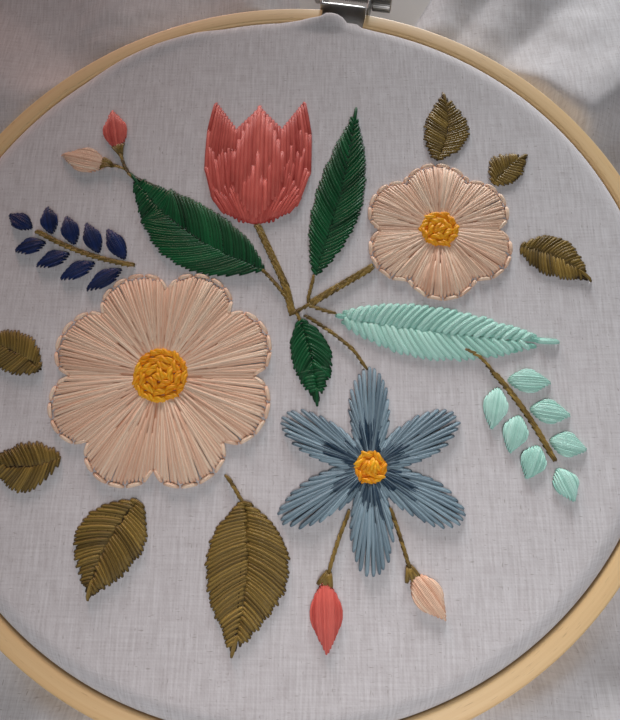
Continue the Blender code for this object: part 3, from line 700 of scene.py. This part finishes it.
class Leaf:
    """A leaf's outline: along runs 0 to 1 from base to tip, across is in millimetres from its midrib."""

    def __init__(self, base, tip, width, bend=0.0):
        self.base = Vector(base)
        run = Vector(tip) - self.base
        self.length = run.length
        self.ahead = run.normalized()
        self.side = self.ahead.orthogonal()
        self.width = width
        self.bend = bend
        self.widest = self.half(0.45)

    def half(self, along):
        inside = min(max(along, 0.0), 1.0)
        return 0.5 * self.width * max(0.0, sin(pi * inside ** 0.85)) ** 0.9

    def at(self, along, across):
        middle = self.bend * 4 * along * (1 - along)
        return self.base + self.ahead * along * self.length + self.side * (middle + across)


def spacing(before, start, end):
    """How far a stitch lies from the one before it, where they are furthest apart."""
    if before is None:
        return 99.0
    way = (end - start).normalized()
    return max(abs(way.cross(start - before[0])), abs(way.cross(end - before[1])))


def padded(leaf, pitch):
    """Low straight stitches along a leaf, the bed that the ones on top are sewn over, at a low tone as painted
    shade under them.
    """
    widest = leaf.widest * 0.86
    count = round(2 * widest / pitch)
    for lane in range(count):
        across = ((lane + 0.5) / count * 2 - 1) * widest
        inside = [place / 100 for place in range(101) if 0.84 * leaf.half(place / 100) > abs(across)]
        yield stitch(leaf.at(inside[0], across), leaf.at(inside[-1], across), BED_LIFT, 0.05)


def fishbone(leaf, steep, slant, pitch, tone):
    """Stitches of both sides of a leaf, a little uneven as sewn by hand, crossing at its midrib."""
    yield from padded(leaf, pitch)
    for hand in (1, -1):
        before = None
        for place in range(1000):
            along = place / 1000
            angle = radians(steep + (slant - steep) * min(1.0, along / 0.6))
            out = along
            for _ in range(8):
                out = min(1.0, along + leaf.half(out) / (tan(angle) * leaf.length))
            start, end = leaf.at(along, 0.0), leaf.at(out, hand * leaf.half(out))
            if (end - start).length < 2.4 * pitch or spacing(before, start, end) < pitch:
                continue
            before = (start, end)
            way = (end - start).normalized()
            # It starts a little past the midrib, and its holes aren't quite in line with the others
            start -= way * uniform(0.3, 1.1)
            start += leaf.ahead * about(0.1) * pitch
            end += way * uniform(-0.45, 0.35) + leaf.ahead * about(0.12) * pitch
            lift = LIFT + 0.06 * hand + about(0.1)
            drift = 0.25 * noise.noise((along * 9.0, hand * 3.0, leaf.length))
            bow = hand * ((end - start).length * 0.045 + about(0.07))
            yield stitch(start, end, lift, tone + drift, bow)
    yield stitch(leaf.at(1 - 5.0 / leaf.length, 0.0), leaf.at(1.02, 0.0), LIFT + 0.1, tone)


def lengthwise(leaf, tone=0.5):
    """Satin stitches from the base of a small leaf or bud to its tip, the outer ones shorter."""
    lanes = round(2 * leaf.widest / FINE_PITCH)
    for lane in range(lanes):
        share = (lane + 0.5) / lanes * 2 - 1
        across = share * leaf.widest
        start, end = 0.02, 0.99
        while leaf.half(start) < 0.92 * abs(across):
            start += 0.01
        while leaf.half(end) < 0.85 * abs(across):
            end -= 0.01
        first = leaf.at(start, across * 0.72)
        last = leaf.at(end * uniform(0.98, 1.01), across * 0.66)
        lift = LIFT + 0.35 * (1 - share * share) + about(0.05)
        yield stitch(first, last, lift, tone + about(0.15), across * 0.26)


# The slant of a leaf's stitches from its midrib, in degrees at its base and from its middle on
SLANTS = {"fishbone": (80, 50), "slanted": (55, 27), "upright": (70, 38)}

# Leaves and buds: name, dye, base_mm, tip_mm, width_mm, bend_mm, way of sewing, tone
FILLS = (
    ("leaf_green_left", "green", (-5.5, 13.5), (-44, 43), 19, 4, "slanted", 0.5),
    ("leaf_green_up", "green", (8, 11.5), (20, 64), 13.5, -1.5, "slanted", 0.5),
    ("leaf_green_heart", "green", (4.5, -1), (9, -23.5), 10.5, 1, "slanted", 0.5),
    ("leaf_mint_right", "mint", (13, 0.5), (70, -7), 14.5, -1.5, "upright", 0.5),
    ("leaf_olive_foot_1", "olive", (-8.5, -47), (-10, -81), 20, 2, "fishbone", 0.5),
    ("leaf_olive_foot_2", "olive", (-34, -47), (-44, -69.5), 17, -2, "fishbone", 0.45),
    ("leaf_olive_foot_3", "olive", (-54, -37), (-73.5, -37.5), 12.5, 2, "fishbone", 0.42),
    ("leaf_olive_side", "olive", (-62, -14.5), (-82, -6), 11.5, -1.5, "fishbone", 0.42),
    ("leaf_olive_rim_1", "olive", (63, 20), (81, 10), 12, 2, "fishbone", 0.5),
    ("leaf_olive_rim_2", "olive", (57.5, 39), (68, 48.5), 10, 1, "fishbone", 0.5),
    ("leaf_olive_rim_3", "olive", (42.5, 46.5), (45.5, 69.5), 13, -2, "fishbone", 0.45),
    ("bud_coral_left", "coral", (-48.5, 51), (-51.5, 65), 7.5, 0, "lengthwise", 0.5),
    ("bud_peach_left", "peach", (-51, 46), (-65, 49.5), 8.5, 0, "lengthwise", 0.5),
    ("bud_coral_foot", "coral", (11, -64.5), (11.5, -81), 8, 0, "lengthwise", 0.5),
    ("bud_peach_foot", "peach", (31, -63), (38.5, -73.5), 7.5, 0, "lengthwise", 0.5),
)
for name, dye, base, tip, width, bend, way, tone in FILLS:
    leaf = Leaf(base, tip, width, bend)
    if way == "lengthwise":
        sew(f"{name}_sewn", lengthwise(leaf, tone), dye, [name], count=2)
    else:
        sew(f"{name}_sewn", fishbone(leaf, *SLANTS[way], pitch_of(dye), tone), dye, [name])

# Sprigs
# Small paired leaves of lengthwise satin stitches, and one at the head, on a stem of two rows of stem
# stitch side by side.

STEM_STRAND = 0.23  # radius in millimetres, two strands in the needle
STEM_REACH = 3.6  # length of a stem stitch
STEM_STEP = 1.7  # from where one starts to where the next does


def stem_stitch(points, lines, tone=0.5):
    """Short slanting stitches that overlap by half along a stem, in one or more lines side by side."""
    route = [Vector(p) for p in points]
    lengths = [0.0]
    for a, b in zip(route, route[1:]):
        lengths.append(lengths[-1] + (b - a).length)

    def at(run):
        run = min(max(run, 0.0), lengths[-1])
        for a, b, low, high in zip(route, route[1:], lengths, lengths[1:]):
            if run <= high:
                return a.lerp(b, (run - low) / (high - low)), (b - a).normalized()

    for place, line in enumerate(lines):
        run = -0.8 - 0.6 * place
        while run < lengths[-1] - 1.4:
            (here, ahead), (there, _) = at(run), at(run + STEM_REACH)
            side = ahead.orthogonal()
            yield stitch(here + side * (line - 0.3), there + side * (line + 0.3), LIFT,
                         tone + about(0.2))
            run += STEM_STEP


def sew_stem(name, rows, nodes):
    """Sew a stem or stalk with two strands of olive."""
    sew(name, rows, "olive", nodes, STEM_STRAND, 2)


# Sprigs: name, dye of the leaves, foot_mm, head_mm, bend_mm, pairs, leaf length_mm, leaf width_mm,
# spread in degrees
SPRIGS = (
    ("sprig_mint", "mint", (53.5, -15), (66.5, -37.5), 1, 3, 12, 6.6, 50),
    ("sprig_navy", "navy", (-40.5, 14.8), (-69, 25.5), 1.5, 4, 12, 5.2, 46),
)
SPRIG_GAP = 1.3  # from the stem to a leaf's base
SPRIG_TAPER = 0.25  # how much shorter the last leaf is than the first


def sprig(name, dye, foot, head, bend, pairs, length, width, spread):
    """A stem with its pairs of small leaves and one at its head."""
    foot, head = Vector(foot), Vector(head)
    run = head - foot
    side = run.normalized().orthogonal()

    def at(along):
        return foot + run * along + side * bend * 4 * along * (1 - along)

    def small_leaf(label, root, ahead, grown):
        leaf = Leaf(root, root + ahead * grown, width)
        sew(f"{name}_{label}_sewn", lengthwise(leaf), dye, [f"{name}_{label}"], count=2)

    route = [at(step / 12) for step in range(13)]
    sew_stem(f"{name}_stem_sewn", stem_stitch(route, (-0.25, 0.25)), [f"{name}_stem"])
    for pair in range(pairs):
        along = (pair + 0.4) / pairs
        ahead = (at(along + 0.05) - at(along - 0.05)).normalized()
        for hand, label in ((1, "a"), (-1, "b")):
            turn = Matrix.Rotation(radians(hand * spread), 2)
            root = at(along) + ahead.orthogonal() * hand * SPRIG_GAP
            small_leaf(f"{pair + 1}{label}", root, turn @ ahead, length * (1 - SPRIG_TAPER * along))
    ahead = (at(1.0) - at(0.95)).normalized()
    small_leaf("head", at(1.0) + ahead * SPRIG_GAP, ahead, length * (1 - SPRIG_TAPER))


for row in SPRIGS:
    sprig(*row)

# Stems
# Olive stem stitch: three lines side by side to the tulip and the small flower, and single lines out to
# the other flower, the leaves, a sprig and the buds, which end in three sepals.

STEMS = (
    ("stem_tulip", ((2.4, 0.5), (0.8, 8), (-3.2, 17), (-7.8, 27.2))),
    ("stem_flower_small", ((7, 3.5), (13, 7.4), (19, 11.2), (24.2, 14.4))),
)
for name, route in STEMS:
    sew_stem(f"{name}_sewn", stem_stitch(route, (-0.5, 0.0, 0.5)), [name])

# Single lines: name, route_mm, whether it ends in a bud's sepals
STALKS = (
    ("bud_coral_left", ((-43.5, 41.5), (-46.2, 45.5), (-47.8, 50.2)), True),
    ("bud_peach_left", ((-45.6, 44.2), (-47.6, 45.6), (-50.4, 46.2)), True),
    ("bud_coral_foot", ((17, -48.8), (14.2, -55.5), (11.6, -63.6)), True),
    ("bud_peach_foot", ((26.4, -48), (28.6, -55), (30.6, -62.2)), True),
    ("stem_fork", ((1.4, 0.6), (4.4, 1.8), (7.6, 3.9)), False),
    ("leaf_mint", ((6, 3.4), (9.6, 2), (14, 0.6)), False),
    ("leaf_heart", ((3.2, 2.4), (3.6, 0.6), (4.6, -1.6)), False),
    ("leaf_left", ((2, 3.4), (-1.6, 8.6), (-6.2, 13.8)), False),
    ("leaf_up", ((6.2, 3.6), (7, 7.4), (8.2, 12.2)), False),
    ("sprig_mint", ((46, -8.6), (50.6, -10.8), (54.4, -16.6)), False),
    ("flower_blue", ((5.4, 0.6), (13, -4.6), (18.6, -9.4), (21.6, -14.6)), False),
    ("leaf_olive_foot", ((-13.4, -40.6), (-11.4, -43.2), (-8.8, -47.6)), False),
)
SEPALS = (-30, 32, 0)  # degrees from the bud's middle line
for name, route, budded in STALKS:
    rows = list(stem_stitch(route, (0.0,), 0.45))
    base, before = Vector(route[-1]), Vector(route[-2])
    ahead = (base - before).normalized()
    for angle in SEPALS if budded else ():
        sepal = Matrix.Rotation(radians(angle), 2) @ ahead
        for beside in (-0.35, 0.35):
            aside = sepal.orthogonal() * beside
            rows.append(stitch(base - ahead * 0.8 + aside, base + sepal * 3.4 + aside * 0.4, 0.8, 0.5))
    sew_stem(f"{name}_stalk", rows, [])

# Open flowers
# Each petal is a fan of long and short stitches from the knotted centre to its edge, over a low bed. The
# peach ones are ringed by a back stitch of the same thread.

Flower = namedtuple("Flower", "name dye centre radius notch petals roundness middle ringed")

# Name, dye, centre_mm, radius_mm, notch radius_mm, petals, roundness, centre radius_mm, back stitch
FLOWERS = (
    Flower("flower_large", "peach", (-31, -16), 29, 23, 8, 0.45, 7.2, True),
    Flower("flower_small", "peach", (42, 25), 20, 15.5, 6, 0.45, 5.2, True),
    Flower("flower_blue", "blue", (22, -39), 25.5, 8, 6, 1.4, 4.2, False),
)
START_SHARES = (0, 0.34, 0.12, 0, 0.42, 0.22)  # where a petal's stitches start, in turn
BACK_STITCH = 4.4  # length of a stitch of the ring
BACK_STRAND = 0.24  # radius in millimetres of its strands
BACK_OUT = 0.3  # from the petals' edge to the ring


def petal_reach(flower, share):
    """Distance from a flower's centre to a petal's edge, share 0 to 1 across the petal."""
    return flower.notch + (flower.radius - flower.notch) * sin(pi * share) ** flower.roundness


def polar(centre, radius, turn):
    """A place in millimetres at a distance and an angle from a centre."""
    return Vector((centre[0] + radius * cos(turn), centre[1] + radius * sin(turn)))


def petals_sewn(flower):
    """The fans of stitches of all the petals of a flower."""
    step = 2 * pi / flower.petals
    count = round(step * (0.4 * flower.radius + 0.6 * flower.notch) / (0.95 * pitch_of(flower.dye)))
    for petal in range(flower.petals):
        for k in range(count):
            share = (k + 0.5) / count
            edge_turn = (petal + share + about(0.22) / count) * step
            root_turn = (petal + 0.5 + (share - 0.5) * 0.9 + about(1.0) / count) * step
            reach = petal_reach(flower, share) * uniform(0.985, 1.008) - 0.1
            edge = polar(flower.centre, reach, edge_turn)
            root = polar(flower.centre, flower.middle - 1.2, root_turn)
            begin = START_SHARES[k % len(START_SHARES)] * uniform(0.75, 1.15)
            if (edge - root).length < 6.0:
                begin = 0.0
            lift = LIFT + 0.45 * sin(pi * share) + about(0.13)
            bow = about(0.22)
            drift = 0.22 * noise.noise((share * 5.0, petal * 7.3, flower.radius))
            # The fan's own stitch, one of the bed at a low tone as painted shade under the fan, and in the blue
            # petals a short dark one near the root
            yield stitch(root.lerp(edge, begin), edge, lift, 0.6 + drift, bow)
            if k % 2 or not flower.ringed:
                yield stitch(root, root.lerp(edge, 0.93), BED_LIFT, 0.15)
            if k % 2 and not flower.ringed:
                short = root.lerp(edge, uniform(0.3, 0.62))
                yield stitch(root, short, lift + 0.12, 0.05)


def back_stitch(flower):
    """A row of back stitches round a flower, end to end in shared holes."""
    outline = []
    for place in range(720):
        turn = 2 * pi * place / 720
        share = (turn * flower.petals / (2 * pi)) % 1.0
        outline.append(polar(flower.centre, petal_reach(flower, share) + BACK_OUT, turn))
    holes = [outline[0]]
    gone = 0.0
    for before, after in zip(outline, outline[1:]):
        gone += (after - before).length
        if gone > BACK_STITCH:
            holes.append(after)
            gone = 0.0
    return [stitch(a.lerp(b, 0.03), a.lerp(b, 0.97), 0.52, 0.7) for a, b in zip(holes, holes[1:] + holes[:1])]


KNOT_STRAND = 0.46  # radius in millimetres of each of the three strands of a knot
KNOT_RING = 1.9  # from one ring of knots to the next
KNOT_REACH = 4.6  # length of a knot's stitch
KNOT_LOW = DRUM_TOP + 0.15  # height of the lowest ring of knots
KNOT_BED_LINES = 6  # on each side of the middle one


def plump_stitch(middle, heading, reach, low, puff, tone):
    """A short thick stitch: three strands twisted round each other over a hump, as paths."""
    paths = []
    ahead = Vector((cos(heading), sin(heading)))
    side = ahead.orthogonal()
    twisted = uniform(0.0, 2 * pi)
    for strand in range(3):
        path = []
        for step in range(11):
            share = step / 10
            swell = sin(pi * share)
            around = twisted + 2 * pi * (strand / 3 + 0.8 * share)
            apart = 0.5 * swell ** 0.5
            spot = Vector(middle) + ahead * (share - 0.5) * reach
            spot += side * (apart * cos(around) - 0.125 * reach * (1 - swell))
            path.append((spot.x, spot.y, low + puff * swell + apart * sin(around)))
        paths.append((path, tone + about(0.1)))
    return paths


def knotted(centre, radius):
    """Rings of short thick stitches lapped over each other on a flat bed at a low tone as painted shade under
    them, as paths.
    """
    laid = []
    for line in range(-KNOT_BED_LINES, KNOT_BED_LINES + 1):
        across = line * radius / (KNOT_BED_LINES + 0.5)
        half = Vector((sqrt(radius * radius - across * across) * 0.93, 0.0))
        here = Vector(centre) + Vector((0.0, across))
        # The bed at a low tone: painted shade under the knots
        laid += strands_of(stitch(here - half, here + half, 0.08, 0.15), 1)
    ring = radius - 1.0
    layer = 0
    while ring > 0.1:
        count = max(2, round(2 * pi * ring / (0.66 * KNOT_REACH)))
        turned = uniform(0.0, 2 * pi)
        for k in range(count):
            turn = turned + 2 * pi * (k + about(0.1)) / count
            heading = turn + pi / 2 + about(0.32)
            tone = 0.7 + uniform(-0.22, 0.2)
            middle = polar(centre, ring + about(0.15), turn)
            laid += plump_stitch(middle, heading, KNOT_REACH * uniform(0.85, 1.1), KNOT_LOW + 0.2 * layer,
                                 0.6 + uniform(0.0, 0.25), tone)
        ring = ring - KNOT_RING if ring - KNOT_RING > 0.1 or ring < 1.0 else 0.5
        layer += 1
    return laid


for flower in FLOWERS:
    name = flower.name
    sew(f"{name}_petals_sewn", petals_sewn(flower), flower.dye, [f"{name}_petals"])
    lay(f"{name}_knots_sewn", knotted(flower.centre, flower.middle), "ochre", [f"{name}_knots"],
        KNOT_STRAND, 2)
    if flower.ringed:
        sew(f"{name}_back_stitch", back_stitch(flower), flower.dye, [], BACK_STRAND, 3)

# Tulip
# Three petals in coral long and short stitch over a low bed, the middle one over the outer two. Each lane
# is sewn in runs that end at staggered places.

TULIP_FOOT = Vector((-8.0, 26.5))
TULIP_TOP = 41.0
TULIP_HALF = 15.6
TULIP_PITCH = pitch_of("coral")
# The cup's half outline and the top edge of its outer petals: across_mm, up_mm from the foot
TULIP_SIDE = ((0, 0), (4.6, 0.6), (11, 5.4), (14.6, 13), (15.6, 22.5), (14.8, 32), (13, 41))
TULIP_RIM = ((0, 39), (6.6, 31.5), (13, 41))


def runs_along(start, end, length):
    """Where the stitches of one lane begin and end, each one lapping back over the one before it."""
    cut = start
    step = length * uniform(0.45, 1.1)
    runs = []
    while cut < end:
        after = end if end - cut - step < 0.4 * length else cut + step
        runs.append((cut - (uniform(0.12, 0.34) * length if runs else 0.0), after))
        cut = after
        step = length * uniform(0.75, 1.2)
    return runs


def half_cup(level):
    """Half the cup's width in millimetres at a height over its foot."""
    return between(TULIP_SIDE, level, 1, 0)


def tulip_bed():
    """Low upright stitches under the whole cup, at a low tone as painted shade under the petals."""
    for lane in range(-12, 13):
        across = lane * 1.18
        inside = [level / 4 for level in range(4, 160)
                  if abs(across) < half_cup(level / 4) - 0.7
                  and level / 4 < between(TULIP_RIM, abs(across)) - 1.0]
        if inside:
            low, high = (TULIP_FOOT + Vector((across, level)) for level in (inside[0], inside[-1]))
            yield stitch(low, high, BED_LIFT, 0.1)


def tulip_side(hand):
    """Lanes that follow the cup's side from its foot up to the rim."""
    count = round(TULIP_HALF / (0.8 * TULIP_PITCH))
    for lane in range(count):
        share = (lane + 0.6) / count
        top = TULIP_TOP
        for tried in range(200):
            level = TULIP_TOP - tried * 0.1
            if level <= between(TULIP_RIM, share * half_cup(level)):
                top = level
                break
        for run in runs_along(0.6 + 3.5 * share * share, top, 11.0):
            first, last = (TULIP_FOOT + Vector((hand * share * half_cup(level), level)) for level in run)
            yield stitch(first, last, LIFT + uniform(-0.06, 0.1), 0.42)


def tulip_middle():
    """Lanes along the middle petal, over the other two."""
    petal = Leaf(TULIP_FOOT + Vector((0.0, 1.5)), TULIP_FOOT + Vector((0.0, 39.5)), 15.0)
    count = round(2 * petal.widest / TULIP_PITCH)
    for lane in range(count):
        across = ((lane + 0.5) / count * 2 - 1) * petal.widest * 0.98
        start, end = 0.0, 1.0
        while petal.half(start) < abs(across):
            start += 0.004
        while petal.half(end) < abs(across):
            end -= 0.004
        for first, last in runs_along(start, end, 22.0 / petal.length):
            aside = across + about(0.12)
            yield stitch(petal.at(first, aside), petal.at(last, across),
                         LIFT + 0.45 + uniform(-0.06, 0.1), 0.62, about(0.15))


rows = [*tulip_bed(), *tulip_side(1), *tulip_side(-1), *tulip_middle()]
sew("tulip_cup_sewn", rows, "coral", ["tulip_cup"])

# Table, light and camera
# A pale table under the hoop, two narrow soft lights as from windows on the far side, a weak fill from the
# near side and a soft light overhead.

bm = bmesh.new()
bmesh.ops.create_grid(bm, x_segments=1, y_segments=1, size=2.0)
floor_mesh = bpy.data.meshes.new("table_top")
bm.to_mesh(floor_mesh)
bm.free()
floor = bpy.data.objects.new("table_top", floor_mesh)
made, tree, shader = finish_named("pale_table")
give(shader, {"Base Color": linear("DAD7D3"), "Roughness": 0.8})
floor_mesh.materials.append(made)
into_scene(floor)


def soft_light(name, place, aim, size, power, colour, spread):
    """A square area light at a place in metres, aimed at a point, its spread in degrees."""
    lamp = bpy.data.lights.new(name, "AREA")
    lamp.size = size
    lamp.energy = power
    lamp.color = linear(colour)[:3]
    lamp.spread = radians(spread)
    holder = bpy.data.objects.new(name, lamp)
    holder.location = place
    holder.rotation_euler = (Vector(aim) - Vector(place)).to_track_quat("-Z", "Y").to_euler()
    into_scene(holder)


soft_light("window_right", (0.15, 0.80, 0.18), (0.11, -0.13, 0.0), 0.2, 0.235, "FBFDFF", 26.0)
soft_light("window_left", (-0.25, 0.75, 0.20), (0.0, -0.20, 0.0), 0.2, 0.068, "FFC9BA", 24.0)
soft_light("near_fill", (0.02, -0.55, 0.30), (0.0, -0.12, 0.0), 0.4, 0.091, "F0F5FF", 60.0)
soft_light("overhead", (0.04, -0.185, 0.30), (0.035, -0.095, 0.0), 0.16, 0.118, "FFFAFA", 90.0)

world = bpy.data.worlds.new("room")
world.use_nodes = True
give(world.node_tree.nodes["Background"], {"Color": linear("E8E6E6"), "Strength": 0.08})
bpy.context.scene.world = world
bpy.context.scene.view_settings.view_transform = "Standard"

camera_data = bpy.data.cameras.new("camera")
camera_data.lens = 30.0
camera_data.sensor_width = 36.0
camera_data.clip_start = 0.005
camera = bpy.data.objects.new("camera", camera_data)
right = Vector((0.9997, 0.00672, -0.02339)).normalized()
ahead = Vector((-0.02433, 0.27814, -0.96023)).normalized()
turned = Matrix((right, right.cross(ahead), -ahead)).transposed().to_4x4()
camera.matrix_world = Matrix.Translation((0.01086, -0.05454, 0.15939)) @ turned
into_scene(camera)
bpy.context.scene.camera = camera
